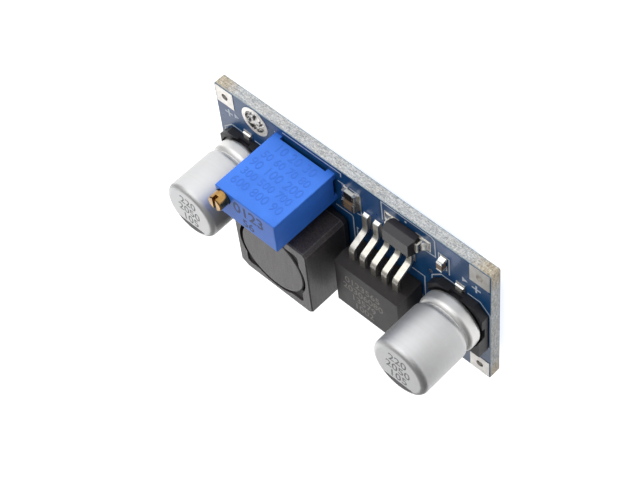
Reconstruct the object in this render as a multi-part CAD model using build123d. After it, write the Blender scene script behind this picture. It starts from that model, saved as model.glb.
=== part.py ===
from build123d import *
import os
from math import acos, asin, atan, cos, degrees, hypot, pi, radians, sin, tan

# Boost converter module
# A blue circuit board carries two electrolytic capacitors, a shielded inductor, a five-lead regulator,
# a diode, three chip parts and a multi-turn trimmer whose brass screw turns a toothed wheel inside.
# Millimetres. X runs along the board from the input end to the output end, Y across it and Z up.
# The origin is the middle of the board's outline at the level of the trimmer's pin tips.

# Board
BOARD_LENGTH = 43.0
BOARD_WIDTH = 21.0
BOARD_THICK = 1.6
BOARD_CORNER = 0.25
PIN_TAIL = 0.9
BOARD_TOP = PIN_TAIL + BOARD_THICK

# Copper, plating and solder
LAND_THICK = 0.05
PLATING = 0.05
SOLDER_FILM = 0.05
SEAT = LAND_THICK + SOLDER_FILM
RUNNING_GAP = 0.03
FIT_GAP = 0.02
LAND_CLEARANCE = 0.2

# Mounting holes, one near each end on opposite long edges
MOUNT_FROM_END = 6.55
MOUNT_FROM_EDGE = 2.3
MOUNT_RADIUS = 1.6
MOUNT_LAND_RADIUS = 2.15

# Wire pads in the four corners
WIRE_PAD_SIDE = 2.9
WIRE_PAD_FROM_EDGE = 0.15
WIRE_HOLE_RADIUS = 0.5

# Electrolytic capacitors
CAP_PLACES = {"input_capacitor": (-16.6, -0.25), "output_capacitor": (17.1, -0.1)}
CAP_BASE_SIDE = 8.2
CAP_BASE_CHAMFER = 1.45
CAP_SEAT_THICK = 0.9
CAP_CORNER_THICK = 1.0
CAP_POST_HEIGHT = 1.55
CAP_DISH_RADIUS = 4.2
CAP_MOAT_RADIUS = 3.5
CAP_MOAT_DEPTH = 0.35
CAP_CAN_RADIUS = 4.0
CAP_CAN_TOP = 10.75
CAP_RIM_RADIUS = 0.7
CAP_FOOT_RADIUS = 0.6
CAP_BEAD_RADIUS = 0.65
CAP_SHOULDER_RADIUS = 0.85
CAP_GROOVE_DEPTH = 0.5
CAP_GROOVE_FLOOR = 0.1
CAP_GROOVE_LEVEL = 2.15
CAP_LEAD_WIDTH = 0.9
CAP_LEAD_THICK = 0.3
CAP_LEAD_INNER = 1.45
CAP_LEAD_OUTER = 4.95
CAP_LEAD_RISER = 0.6
CAP_LAND_TOE = 0.35
CAP_LAND_SIDE = 0.25
CAP_LAND_INSET = 1.0
CAP_SOLDER_INSET = 1.1
CAP_SOLDER_SIDE = 0.15
CAP_SOLDER_TOE = 0.3
CAP_SOLDER_RISE = 0.31

# Shielded inductor
COIL_X = -6.3
COIL_Y = -3.92
COIL_SIDE = 12.15
COIL_HEIGHT = 7.5
COIL_CORNER = 0.45
COIL_MARK_CUT_X = 1.2
COIL_MARK_CUT_Y = 0.7
COIL_BASE_THICK = 0.6
COIL_CLIP_THICK = 0.2
COIL_CLIP_WIDTH = 5.0
COIL_CLIP_REACH = 2.2
COIL_BORE_RADIUS = 5.5
COIL_NOTCH_SIDE = 9.5
COIL_NOTCH_ROUND = 0.6
COIL_DRUM_RADIUS = 5.1
COIL_POST_RADIUS = 2.6
COIL_FLANGE_THICK = 1.3
COIL_FLANGE_BEVEL = 0.12
COIL_WIRE = 0.8
COIL_RIM_BEVEL = 0.15
COIL_GLUE_DEPTH = 0.9
COIL_GLUE_SINK = 0.25
COIL_GLUE_SPREAD = 16.0
COIL_LAND_MARGIN = 0.2
COIL_SOLDER_TOE = 0.18
COIL_SOLDER_RISE = 0.3

# Regulator with five gull-wing leads and a heat tab
REG_X = 6.35
REG_FACE_Y = -0.05
REG_WIDTH = 10.2
REG_LENGTH = 8.75
REG_HEIGHT = 4.4
REG_DRAFT = 5.0
REG_TAB_THICK = 1.27
REG_TAB_WIDTH = 9.4
REG_TAB_OUT = 0.9
REG_TAB_CORNER = 1.1
REG_TAB_INSIDE = 1.4
REG_TAB_LAND_LENGTH = 7.2
REG_TAB_SOLDER_LENGTH = 6.5
REG_TAB_SOLDER_TOE = 0.18
REG_TAB_SOLDER_RISE = 0.76
REG_TOP_BEVEL = 0.5
REG_LEADS = 5
REG_PITCH = 1.7
REG_LEAD_WIDTH = 0.8
REG_LEAD_THICK = 0.45
REG_LEAD_LEVEL = 2.85
REG_LEAD_INSIDE = 1.0
REG_LEAD_SHOULDER = 1.75
REG_LEAD_SLOPE_RUN = 1.35
REG_LEAD_FOOT = 2.55
REG_LEAD_BEND = 0.7
REG_LEAD_FOOT_BEND = 1.0
REG_LEAD_HEEL = 0.7
REG_LAND_TOE = 0.2
REG_LAND_SIDE = 0.15

# Rectifier diode
DIODE_X = 9.3
DIODE_Y = 8.1
DIODE_LENGTH = 4.3
DIODE_WIDTH = 2.5
DIODE_HEIGHT = 2.05
DIODE_DRAFT = 13.0
DIODE_LEAD_WIDTH = 1.45
DIODE_LEAD_THICK = 0.2
DIODE_LEAD_OUT = 0.35
DIODE_LEAD_FOOT = 1.1
DIODE_LEAD_INSIDE = 0.5
DIODE_LEAD_BEND = 0.16
DIODE_LIFT = 0.05
DIODE_LAND_TOE = 1.0
DIODE_LAND_HEEL = 0.15
DIODE_LAND_SIDE = 0.2
DIODE_SOLDER_TOE = 0.9
DIODE_SOLDER_RISE = 0.95

# Chip parts: X, Y, turn, length, width, height and length of each end cap
RESISTOR = (0.6, 7.5, 0, 2.0, 1.25, 0.55, 0.4)
SENSE_CAPACITOR = (0.6, 5.95, 0, 2.0, 1.25, 0.7, 0.4)
BYPASS_CAPACITOR = (14.65, 7.0, 90, 1.6, 0.8, 0.75, 0.3)
RESISTOR_COAT = 0.06
RESISTOR_COAT_INSET = 0.05
CHIP_EDGE = 0.08
CHIP_LAND_TOE = 0.45
CHIP_LAND_HEEL = 0.15
CHIP_LAND_SIDE = 0.075
CHIP_SOLDER_TOE = 0.22
CHIP_SOLDER_CLIMB = 0.85

# Multi-turn trimmer
TRIM_X = -6.615
TRIM_Y = 6.785
TRIM_LENGTH = 9.53
TRIM_DEPTH = 4.83
TRIM_HEIGHT = 10.03
TRIM_FOOT = 0.45
TRIM_FOOT_LENGTH = 1.1
TRIM_FOOT_WIDTH = 0.9
TRIM_WALL = 0.5
TRIM_TOP_WALL = 1.2
TRIM_BASE_THICK = 1.3
TRIM_EDGE = 0.15
SCREW_INSET = 1.27
SCREW_HEAD_RADIUS = 1.05
SCREW_HEAD_OUT = 1.5
SCREW_HEAD_SINK = 0.45
SCREW_RECESS_RADIUS = 1.14
SCREW_RECESS_DEPTH = 0.7
SCREW_SLOT_WIDTH = 0.5
SCREW_SLOT_DEPTH = 0.65
SCREW_HEAD_BEVEL = 0.12
SCREW_NECK = 0.35
SCREW_NECK_STEP = 0.1
SCREW_COLLAR = 0.35
SCREW_END_GAP = 0.1
SEAL_WIRE = 0.12
CLIP_THICK = 0.25
CLIP_SIDE = 1.3
ROTOR_TEETH = 32
ROTOR_PITCH_RADIUS = 3.2
ROTOR_WIDTH = 0.8
ROTOR_HUB_RADIUS = 1.5
ROTOR_LEVEL = 5.3
ROTOR_WALL_GAP = 0.05
ROTOR_HOLE_PLACE = 2.2
ROTOR_HOLE_RADIUS = 0.45
PIVOT_RADIUS = 0.8
PIVOT_END_GAP = 0.08
TOOTH_RISE = 0.16
TOOTH_TIP_GAP = 0.05
TOOTH_ROOT_HALF = 0.128
TOOTH_TIP_HALF = 0.056
THREAD_TIP_HALF = 0.048
THREAD_SUNK = 0.1
WORM_PITCH_RADIUS = 0.52
WORM_TAIL = 0.5
WORM_TURNS = 8
WIPER_THICK = 0.12
WIPER_HUB_RADIUS = 1.2
WIPER_ARM_WIDTH = 0.6
WIPER_CONTACT_GAP = 0.05
WIPER_ARM_ROOT = (0.8, 0.95)
WIPER_BOW = ((-0.3, 0.15), (-0.1, 0), (0.1, 0), (0.25, 0.25), (0.13, 0.31), (0, 0.13), (-0.2, 0.28))
TRACK_RADIUS = 2.4
TRACK_WIDTH = 0.7
TRACK_THICK = 0.03
TRACK_SWEEP = 290.0
ELEMENT_THICK = 0.64
ELEMENT_RIB = 0.8
ELEMENT_END_GAP = 0.1
ELEMENT_TOP_GAP = 0.3
ELEMENT_CORNER = 1.2
TRIM_PIN_RADIUS = 0.25
TRIM_PIN_PITCH = 2.54
TRIM_PIN_INSIDE = 2.4
TRIM_PIN_BEVEL = 0.1
TRIM_HOLE_RADIUS = 0.4
TRIM_LAND_RADIUS = 0.95
SOLDER_CONE = 0.6
SOLDER_CONE_WAIST = 0.22
SOLDER_CONE_MARGIN = 0.1

# Worked out from the sizes above
MOUNT_X = BOARD_LENGTH / 2 - MOUNT_FROM_END
MOUNT_Y = BOARD_WIDTH / 2 - MOUNT_FROM_EDGE
WIRE_X = BOARD_LENGTH / 2 - WIRE_PAD_FROM_EDGE - WIRE_PAD_SIDE / 2
WIRE_Y = BOARD_WIDTH / 2 - WIRE_PAD_FROM_EDGE - WIRE_PAD_SIDE / 2
TOOTH_PITCH = 2 * pi * ROTOR_PITCH_RADIUS / ROTOR_TEETH
WORM_TIP_RADIUS = WORM_PITCH_RADIUS + TOOTH_RISE
WORM_ROOT_RADIUS = WORM_PITCH_RADIUS - TOOTH_RISE - TOOTH_TIP_GAP
ROTOR_TIP_RADIUS = ROTOR_PITCH_RADIUS + TOOTH_RISE
ROTOR_ROOT_RADIUS = ROTOR_PITCH_RADIUS - TOOTH_RISE - TOOTH_TIP_GAP
SCREW_X = TRIM_X - TRIM_LENGTH / 2 + SCREW_INSET
SCREW_Y = TRIM_Y + TRIM_DEPTH / 2 - SCREW_INSET
ROTOR_X = SCREW_X + WORM_PITCH_RADIUS + ROTOR_PITCH_RADIUS
BASE_TOP = TRIM_FOOT + TRIM_BASE_THICK
CAVITY_TOP = TRIM_HEIGHT - TRIM_TOP_WALL
RECESS_FLOOR = TRIM_HEIGHT - SCREW_RECESS_DEPTH
ELEMENT_FACE_Y = TRIM_Y - TRIM_PIN_RADIUS
CAP_CAN_FOOT = SEAT + CAP_SEAT_THICK
REG_CENTRE_Y = REG_FACE_Y - REG_LENGTH / 2
REG_TAB_END_Y = REG_FACE_Y - REG_LENGTH - REG_TAB_OUT
REG_FOOT_END_Y = REG_FACE_Y + REG_LEAD_SHOULDER + REG_LEAD_SLOPE_RUN + REG_LEAD_FOOT
DIODE_END = DIODE_LENGTH / 2 + DIODE_LEAD_OUT
SCREW_NECK_RADIUS = WORM_ROOT_RADIUS + SCREW_NECK_STEP
CHIPS = (RESISTOR, SENSE_CAPACITOR, BYPASS_CAPACITOR)


def block(x0, x1, y0, y1, z0, z1):
    """Rectangular block between two corners."""
    return Pos((x0 + x1) / 2, (y0 + y1) / 2, (z0 + z1) / 2) * Box(x1 - x0, y1 - y0, z1 - z0)


def rod(radius, z0, z1):
    """Upright cylinder on the Z axis between two levels."""
    return Pos(0, 0, (z0 + z1) / 2) * Cylinder(radius, z1 - z0)


def turned(points):
    """Solid turned about the Z axis from an outline of radius and level."""
    outline = make_face(Polyline(*[(r, 0, z) for r, z in points], close=True))
    return revolve(outline, Axis.Z)


def side_profile(points, width):
    """Bar of constant width along X from an outline in the YZ plane."""
    outline = make_face(Polyline(*[(0, y, z) for y, z in points], close=True))
    return extrude(outline, width / 2, dir=(1, 0, 0), both=True)


def on_board(shape, x=0.0, y=0.0, turn=0.0):
    """Places a part drawn about its own middle onto the board's top face."""
    return Pos(x, y, BOARD_TOP) * Rot(0, 0, turn) * shape


def each_solid(*shapes):
    """Groups separate solids in one node."""
    return Compound(children=[solid for shape in shapes for solid in shape.solids()])


# Board and its plated lands

def printed_board():
    """Glass-fibre board with its mounting, wire and trimmer holes and lands let into its underside."""
    outline = RectangleRounded(BOARD_LENGTH, BOARD_WIDTH, BOARD_CORNER)
    board = Pos(0, 0, PIN_TAIL) * extrude(outline, BOARD_THICK)
    land_top = PIN_TAIL + LAND_THICK
    half = WIRE_PAD_SIDE / 2
    for x, y in mount_places():
        board -= Pos(x, y, 0) * rod(MOUNT_RADIUS + PLATING, 0, BOARD_TOP + 1)
        board -= Pos(x, y, 0) * rod(MOUNT_LAND_RADIUS, 0, land_top)
    for x, y in wire_places().values():
        board -= Pos(x, y, 0) * rod(WIRE_HOLE_RADIUS + PLATING, 0, BOARD_TOP + 1)
        board -= Pos(x, y, 0) * block(-half, half, -half, half, 0, land_top)
    for x in trimmer_pin_places():
        board -= Pos(x, TRIM_Y, 0) * rod(TRIM_HOLE_RADIUS + PLATING, 0, BOARD_TOP + 1)
        board -= Pos(x, TRIM_Y, 0) * rod(TRIM_LAND_RADIUS, 0, land_top)
    return board


def mount_places():
    return [(-MOUNT_X, MOUNT_Y), (MOUNT_X, -MOUNT_Y)]


def trimmer_pin_places():
    return [TRIM_X + step * TRIM_PIN_PITCH for step in (-1, 0, 1)]


def wire_places():
    return {
        "in_plus_pad": (-WIRE_X, WIRE_Y),
        "in_minus_pad": (-WIRE_X, -WIRE_Y),
        "out_plus_pad": (WIRE_X, WIRE_Y),
        "out_minus_pad": (WIRE_X, -WIRE_Y),
    }


def hole_lining(hole_radius, land_radius):
    """Plated hole with a round land on both faces of the board."""
    low = PIN_TAIL + LAND_THICK
    high = BOARD_TOP + LAND_THICK
    wall = hole_radius + PLATING
    return turned([
        (hole_radius, PIN_TAIL), (land_radius, PIN_TAIL), (land_radius, low), (wall, low),
        (wall, BOARD_TOP), (land_radius, BOARD_TOP), (land_radius, high), (hole_radius, high)])


def wire_pad():
    """Square land on both faces joined by a plated wire hole."""
    half = WIRE_PAD_SIDE / 2
    pad = block(-half, half, -half, half, BOARD_TOP, BOARD_TOP + LAND_THICK)
    pad += block(-half, half, -half, half, PIN_TAIL, PIN_TAIL + LAND_THICK)
    pad += rod(WIRE_HOLE_RADIUS + PLATING, PIN_TAIL, BOARD_TOP)
    return pad - rod(WIRE_HOLE_RADIUS, 0, BOARD_TOP + 1)


def mounting_hole_linings():
    lining = hole_lining(MOUNT_RADIUS, MOUNT_LAND_RADIUS)
    return each_solid(*[Pos(x, y, 0) * lining for x, y in mount_places()])


def trimmer_hole_linings():
    lining = hole_lining(TRIM_HOLE_RADIUS, TRIM_LAND_RADIUS)
    return each_solid(*[Pos(x, TRIM_Y, 0) * lining for x in trimmer_pin_places()])


def land_list():
    """Low X, high X, low Y and high Y of each surface land on the board."""
    lands = []
    cap_half = CAP_LEAD_WIDTH / 2 + CAP_LAND_SIDE
    cap_inner = CAP_LEAD_INNER + CAP_LAND_INSET
    cap_outer = CAP_LEAD_OUTER + CAP_LAND_TOE
    for x, y in CAP_PLACES.values():
        lands.append((x - cap_half, x + cap_half, y + cap_inner, y + cap_outer))
        lands.append((x - cap_half, x + cap_half, y - cap_outer, y - cap_inner))
    coil_half = COIL_CLIP_WIDTH / 2 + COIL_LAND_MARGIN
    coil_inner = COIL_SIDE / 2 - COIL_CLIP_REACH
    coil_outer = COIL_SIDE / 2 + COIL_LAND_MARGIN
    lands.append((COIL_X - coil_half, COIL_X + coil_half, COIL_Y + coil_inner, COIL_Y + coil_outer))
    lands.append((COIL_X - coil_half, COIL_X + coil_half, COIL_Y - coil_outer, COIL_Y - coil_inner))
    foot_half = REG_LEAD_WIDTH / 2 + REG_LAND_SIDE
    for x in lead_places():
        lands.append((x - foot_half, x + foot_half, REG_FOOT_END_Y - REG_LEAD_FOOT, REG_FOOT_END_Y + REG_LAND_TOE))
    tab_half = REG_TAB_WIDTH / 2 + REG_LAND_TOE
    tab_low = REG_TAB_END_Y - REG_LAND_TOE
    lands.append((REG_X - tab_half, REG_X + tab_half, tab_low, tab_low + REG_TAB_LAND_LENGTH))
    diode_half = DIODE_LEAD_WIDTH / 2 + DIODE_LAND_SIDE
    diode_inner = DIODE_END - DIODE_LEAD_FOOT - DIODE_LAND_HEEL
    diode_outer = DIODE_END + DIODE_LAND_TOE
    lands.append((DIODE_X + diode_inner, DIODE_X + diode_outer, DIODE_Y - diode_half, DIODE_Y + diode_half))
    lands.append((DIODE_X - diode_outer, DIODE_X - diode_inner, DIODE_Y - diode_half, DIODE_Y + diode_half))
    return lands


def chip_land(chip):
    """Land under one end of a chip part drawn about its own middle."""
    x, y, turn, length, width, height, end = chip
    half = width / 2 + CHIP_LAND_SIDE
    inner = length / 2 - end - CHIP_LAND_HEEL
    return block(inner, length / 2 + CHIP_LAND_TOE, -half, half, 0, LAND_THICK)


def surface_lands():
    """Tinned copper lands under every surface-mounted part, kept clear of the mounting holes."""
    plates = []
    for x0, x1, y0, y1 in land_list():
        plates.append(block(x0, x1, y0, y1, BOARD_TOP, BOARD_TOP + LAND_THICK))
    for chip in CHIPS:
        for way in (0, 180):
            plates.append(on_board(chip_land(chip), chip[0], chip[1], chip[2] + way))
    keep_out = rod(MOUNT_LAND_RADIUS + LAND_CLEARANCE, 0, BOARD_TOP + 1)
    for x, y in mount_places():
        plates = [plate - Pos(x, y, 0) * keep_out for plate in plates]
    return each_solid(*plates)


# Solder

def solder_wedge(width, reach, rise):
    """Solder fillet whose hollow face runs from a wall at y = 0 down to the land."""
    chord = hypot(reach, rise)
    bend = 0.8 * atan(min(reach, rise) / max(reach, rise))
    sag = chord / 2 * tan(bend / 2)
    middle = (0, reach / 2 - sag * rise / chord, rise / 2 - sag * reach / chord)
    face = make_face([
        Line((0, 0, 0), (0, reach, 0)),
        ThreePointArc((0, reach, 0), middle, (0, 0, rise)),
        Line((0, 0, rise), (0, 0, 0)),
    ])
    return extrude(face, width / 2, dir=(1, 0, 0), both=True)


def film(x0, x1, y0, y1):
    """Thin solder layer between a land and the metal seated on it."""
    return block(x0, x1, y0, y1, LAND_THICK, SEAT)


# Electrolytic capacitors

def round_edge(x, z, radius, first, last):
    """Arc of a turned outline about (x, z) between two angles in degrees, counted from +X towards +Z."""
    angles = [radians(a) for a in (first, (first + last) / 2, last)]
    return ThreePointArc(*[(x + radius * cos(a), 0, z + radius * sin(a)) for a in angles])


def capacitor_can():
    """Drawn aluminium can whose groove lies between a rounded foot bead and a rounded shoulder."""
    groove = CAP_CAN_FOOT + CAP_GROOVE_LEVEL
    bead_angle = degrees(acos(1 - CAP_GROOVE_DEPTH / CAP_BEAD_RADIUS))
    bead_z = groove - CAP_GROOVE_FLOOR / 2 - CAP_BEAD_RADIUS * sin(radians(bead_angle))
    shoulder_angle = degrees(acos(1 - CAP_GROOVE_DEPTH / CAP_SHOULDER_RADIUS))
    shoulder_z = groove + CAP_GROOVE_FLOOR / 2 + CAP_SHOULDER_RADIUS * sin(radians(shoulder_angle))
    rounds = [
        round_edge(CAP_CAN_RADIUS - CAP_FOOT_RADIUS, CAP_CAN_FOOT + CAP_FOOT_RADIUS, CAP_FOOT_RADIUS, -90, 0),
        round_edge(CAP_CAN_RADIUS - CAP_BEAD_RADIUS, bead_z, CAP_BEAD_RADIUS, 0, bead_angle),
        round_edge(CAP_CAN_RADIUS - CAP_SHOULDER_RADIUS, shoulder_z, CAP_SHOULDER_RADIUS, -shoulder_angle, 0),
        round_edge(CAP_CAN_RADIUS - CAP_RIM_RADIUS, CAP_CAN_TOP - CAP_RIM_RADIUS, CAP_RIM_RADIUS, 0, 90),
    ]
    foot_centre = (0, 0, CAP_CAN_FOOT)
    top_centre = (0, 0, CAP_CAN_TOP)
    outline = [Line(top_centre, foot_centre), Line(foot_centre, rounds[0] @ 0), Line(rounds[-1] @ 1, top_centre)]
    outline += rounds + [Line(low @ 1, high @ 0) for low, high in zip(rounds, rounds[1:])]
    return revolve(make_face(outline), Axis.Z)


def capacitor_lead():
    """Flat lead that leaves the can's foot and is bent outward under the base."""
    top = SEAT + CAP_LEAD_THICK
    lead = block(-CAP_LEAD_WIDTH / 2, CAP_LEAD_WIDTH / 2, CAP_LEAD_INNER, CAP_LEAD_OUTER, SEAT, top)
    riser_end = CAP_LEAD_INNER + CAP_LEAD_RISER
    lead += block(-CAP_LEAD_WIDTH / 2, CAP_LEAD_WIDTH / 2, CAP_LEAD_INNER, riser_end, top, CAP_CAN_FOOT)
    outer_edge = lead.edges().filter_by(Axis.X).group_by(Axis.Y)[0].sort_by(Axis.Z)[0]
    return chamfer(outer_edge, CAP_LEAD_THICK / 2)


def capacitor_base():
    """Moulded base with two cut corners, two posts, a seat for the can and channels for the leads."""
    half = CAP_BASE_SIDE / 2
    outline = Rectangle(CAP_BASE_SIDE, CAP_BASE_SIDE)
    outline = chamfer(outline.vertices().group_by(Axis.Y)[-1], CAP_BASE_CHAMFER)
    base = Pos(0, 0, SEAT) * extrude(outline, CAP_CORNER_THICK)
    base += block(-half, half, -half, -half / 4, SEAT, SEAT + CAP_POST_HEIGHT)
    base -= rod(CAP_DISH_RADIUS, CAP_CAN_FOOT, CAP_CAN_TOP)
    moat_floor = CAP_CAN_FOOT - CAP_MOAT_DEPTH
    base -= rod(CAP_DISH_RADIUS, moat_floor, CAP_CAN_FOOT) - rod(CAP_MOAT_RADIUS, 0, CAP_CAN_TOP)
    channel = CAP_LEAD_WIDTH / 2 + FIT_GAP
    lead_top = SEAT + CAP_LEAD_THICK
    riser_end = CAP_LEAD_INNER + CAP_LEAD_RISER
    for way in (0, 180):
        slot = block(-channel, channel, CAP_LEAD_INNER - FIT_GAP, half + 1, 0, lead_top)
        slot += block(-channel, channel, CAP_LEAD_INNER - FIT_GAP, riser_end + FIT_GAP, 0, CAP_CAN_TOP)
        base -= Rot(0, 0, way) * slot
    return base


def capacitor_leads():
    lead = capacitor_lead()
    return each_solid(lead, Rot(0, 0, 180) * lead)


def capacitor_solder():
    """Solder under and beside each capacitor lead."""
    half = CAP_LEAD_WIDTH / 2
    joint = film(-half, half, CAP_LEAD_INNER + CAP_SOLDER_INSET, CAP_LEAD_OUTER)
    toe = solder_wedge(CAP_LEAD_WIDTH + 2 * CAP_SOLDER_SIDE, CAP_SOLDER_TOE, CAP_SOLDER_RISE)
    joint += Pos(0, CAP_LEAD_OUTER, LAND_THICK) * toe
    pieces = []
    for x, y in CAP_PLACES.values():
        for way in (0, 180):
            pieces.append(on_board(joint, x, y, way))
    return each_solid(*pieces)


# Inductor

def coil_outline():
    """Square with small cut corners, one of them cut further as a mark."""
    half = COIL_SIDE / 2
    return make_face(Polyline(
        (-half + COIL_MARK_CUT_X, -half), (half - COIL_CORNER, -half), (half, -half + COIL_CORNER),
        (half, half - COIL_CORNER), (half - COIL_CORNER, half), (-half + COIL_CORNER, half),
        (-half, half - COIL_CORNER), (-half, -half + COIL_MARK_CUT_Y), close=True))


def coil_notches(bottom, top):
    """Rounded square bar that opens the shield's bore towards its corners."""
    return Pos(0, 0, bottom) * extrude(
        RectangleRounded(COIL_NOTCH_SIDE, COIL_NOTCH_SIDE, COIL_NOTCH_ROUND), top - bottom)


def inductor_shield():
    """Square ferrite sleeve whose round bore is opened at the corners for cement."""
    bottom = SEAT + COIL_CLIP_THICK + COIL_BASE_THICK
    shield = Pos(0, 0, bottom) * extrude(coil_outline(), COIL_HEIGHT - bottom)
    shield = chamfer(shield.edges().group_by(Axis.Z)[-1], COIL_RIM_BEVEL)
    shield -= rod(COIL_BORE_RADIUS, 0, COIL_HEIGHT + 1)
    return shield - coil_notches(0, COIL_HEIGHT + 1)


def inductor_core():
    """Ferrite drum: two round flanges on a centre post."""
    bottom = SEAT + COIL_CLIP_THICK + COIL_BASE_THICK
    core = rod(COIL_DRUM_RADIUS, bottom, bottom + COIL_FLANGE_THICK)
    core += rod(COIL_DRUM_RADIUS, COIL_HEIGHT - COIL_FLANGE_THICK, COIL_HEIGHT)
    core = chamfer(core.edges().filter_by(GeomType.CIRCLE).group_by(Axis.Z)[-1], COIL_FLANGE_BEVEL)
    return core + rod(COIL_POST_RADIUS, bottom, COIL_HEIGHT - COIL_FLANGE_THICK / 2)


def inductor_winding():
    """Close turns of enamelled wire between the flanges, with rounded outer rows."""
    bottom = SEAT + COIL_CLIP_THICK + COIL_BASE_THICK + COIL_FLANGE_THICK
    top = COIL_HEIGHT - COIL_FLANGE_THICK
    rows = round((top - bottom) / COIL_WIRE)
    pitch = (top - bottom) / rows
    layers = int((COIL_DRUM_RADIUS - COIL_POST_RADIUS) / COIL_WIRE)
    outside = COIL_POST_RADIUS + COIL_WIRE * (layers - 0.5)
    winding = turned([(COIL_POST_RADIUS + FIT_GAP, bottom), (outside, bottom),
                      (outside, top), (COIL_POST_RADIUS + FIT_GAP, top)])
    for row in range(rows):
        winding += Pos(0, 0, bottom + pitch * (row + 0.5)) * Torus(outside, pitch / 2)
    return winding


def inductor_base():
    """Flat plastic plate under the ferrite, notched for the two clips."""
    bottom = SEAT + COIL_CLIP_THICK
    plate = Pos(0, 0, bottom) * extrude(coil_outline(), COIL_BASE_THICK)
    half = COIL_SIDE / 2
    notch_half = COIL_CLIP_WIDTH / 2 + FIT_GAP
    for way in (0, 180):
        notch = block(-notch_half, notch_half, half - COIL_CLIP_THICK - FIT_GAP, half + 1, 0, COIL_HEIGHT)
        plate -= Rot(0, 0, way) * notch
    return plate


def inductor_clips():
    """Two tinned clips, each folded under the base plate and up its side."""
    half = COIL_SIDE / 2
    width = COIL_CLIP_WIDTH / 2
    rise = SEAT + COIL_CLIP_THICK + COIL_BASE_THICK
    clip = block(-width, width, half - COIL_CLIP_REACH, half, SEAT, SEAT + COIL_CLIP_THICK)
    clip += block(-width, width, half - COIL_CLIP_THICK, half, SEAT, rise)
    return each_solid(clip, Rot(0, 0, 180) * clip)


def inductor_adhesive():
    """Four plugs of cement that fill the notches between the shield and the drum."""
    top = COIL_HEIGHT - COIL_GLUE_SINK
    filling = coil_notches(top - COIL_GLUE_DEPTH, top) - rod(COIL_DRUM_RADIUS + FIT_GAP, 0, COIL_HEIGHT)
    reach_x = COIL_SIDE * cos(radians(COIL_GLUE_SPREAD))
    reach_y = COIL_SIDE * sin(radians(COIL_GLUE_SPREAD))
    wedge = make_face(Polyline((0, 0), (reach_x, -reach_y), (reach_x, reach_y), close=True))
    beads = []
    for corner in range(4):
        cutter = Rot(0, 0, 45 + 90 * corner) * extrude(wedge, COIL_HEIGHT)
        beads.append(filling & cutter)
    return each_solid(*beads)


def inductor_solder():
    """Solder under each clip and along its outer edge."""
    half = COIL_SIDE / 2
    width = COIL_CLIP_WIDTH / 2
    joint = film(-width, width, half - COIL_CLIP_REACH, half)
    joint += Pos(0, half, LAND_THICK) * solder_wedge(COIL_CLIP_WIDTH, COIL_SOLDER_TOE, COIL_SOLDER_RISE)
    return each_solid(joint, Rot(0, 0, 180) * joint)


# Regulator

def lead_places():
    """Board X of each regulator lead."""
    first = REG_X - REG_PITCH * (REG_LEADS - 1) / 2
    return [first + REG_PITCH * number for number in range(REG_LEADS)]


def lead_shape():
    """Gull-wing lead in the YZ plane, with its root inside the body."""
    half = REG_LEAD_THICK / 2
    foot = SEAT + half
    shoulder_y = REG_FACE_Y + REG_LEAD_SHOULDER
    ankle_y = shoulder_y + REG_LEAD_SLOPE_RUN
    centre = FilletPolyline(
        (0, REG_FACE_Y - REG_LEAD_INSIDE, REG_LEAD_LEVEL), (0, shoulder_y, REG_LEAD_LEVEL),
        (0, ankle_y, foot), (0, ankle_y + REG_LEAD_FOOT, foot),
        radius=[REG_LEAD_BEND, REG_LEAD_FOOT_BEND])
    section = Plane(origin=centre @ 0, z_dir=centre % 0, x_dir=(1, 0, 0)) * Rectangle(REG_LEAD_WIDTH, REG_LEAD_THICK)
    return sweep(section, centre)


def regulator_leads():
    lead = lead_shape()
    return each_solid(*[Pos(x, 0, BOARD_TOP) * lead for x in lead_places()])


def regulator_tab():
    """Copper heat slug under the body, reaching out past its far end."""
    half = REG_TAB_WIDTH / 2
    inner = REG_FACE_Y - REG_TAB_INSIDE
    tab = block(REG_X - half, REG_X + half, REG_TAB_END_Y, inner, SEAT, SEAT + REG_TAB_THICK)
    corners = tab.edges().filter_by(Axis.Z).group_by(Axis.Y)[0]
    return Pos(0, 0, BOARD_TOP) * chamfer(corners, REG_TAB_CORNER)


def drafted_body(length, width, level_low, level_part, level_high, draft):
    """Moulded body with its parting line at mid height and both halves drafted."""
    outline = Rectangle(length, width)
    upper = Pos(0, 0, level_part) * extrude(outline, level_high - level_part, taper=draft)
    lower = Pos(0, 0, level_part) * Rot(180, 0, 0) * extrude(outline, level_part - level_low, taper=draft)
    return upper + lower


def regulator_body():
    """Epoxy body moulded round the leads and the heat slug."""
    body = drafted_body(REG_WIDTH, REG_LENGTH, SEAT, REG_LEAD_LEVEL, SEAT + REG_HEIGHT, REG_DRAFT)
    far_top = body.edges().filter_by(Axis.X).group_by(Axis.Z)[-1].sort_by(Axis.Y)[0]
    body = chamfer(far_top, REG_TOP_BEVEL)
    body = Pos(REG_X, REG_CENTRE_Y, BOARD_TOP) * body
    for lead in regulator_leads().solids():
        body -= lead
    return body - regulator_tab()


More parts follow.
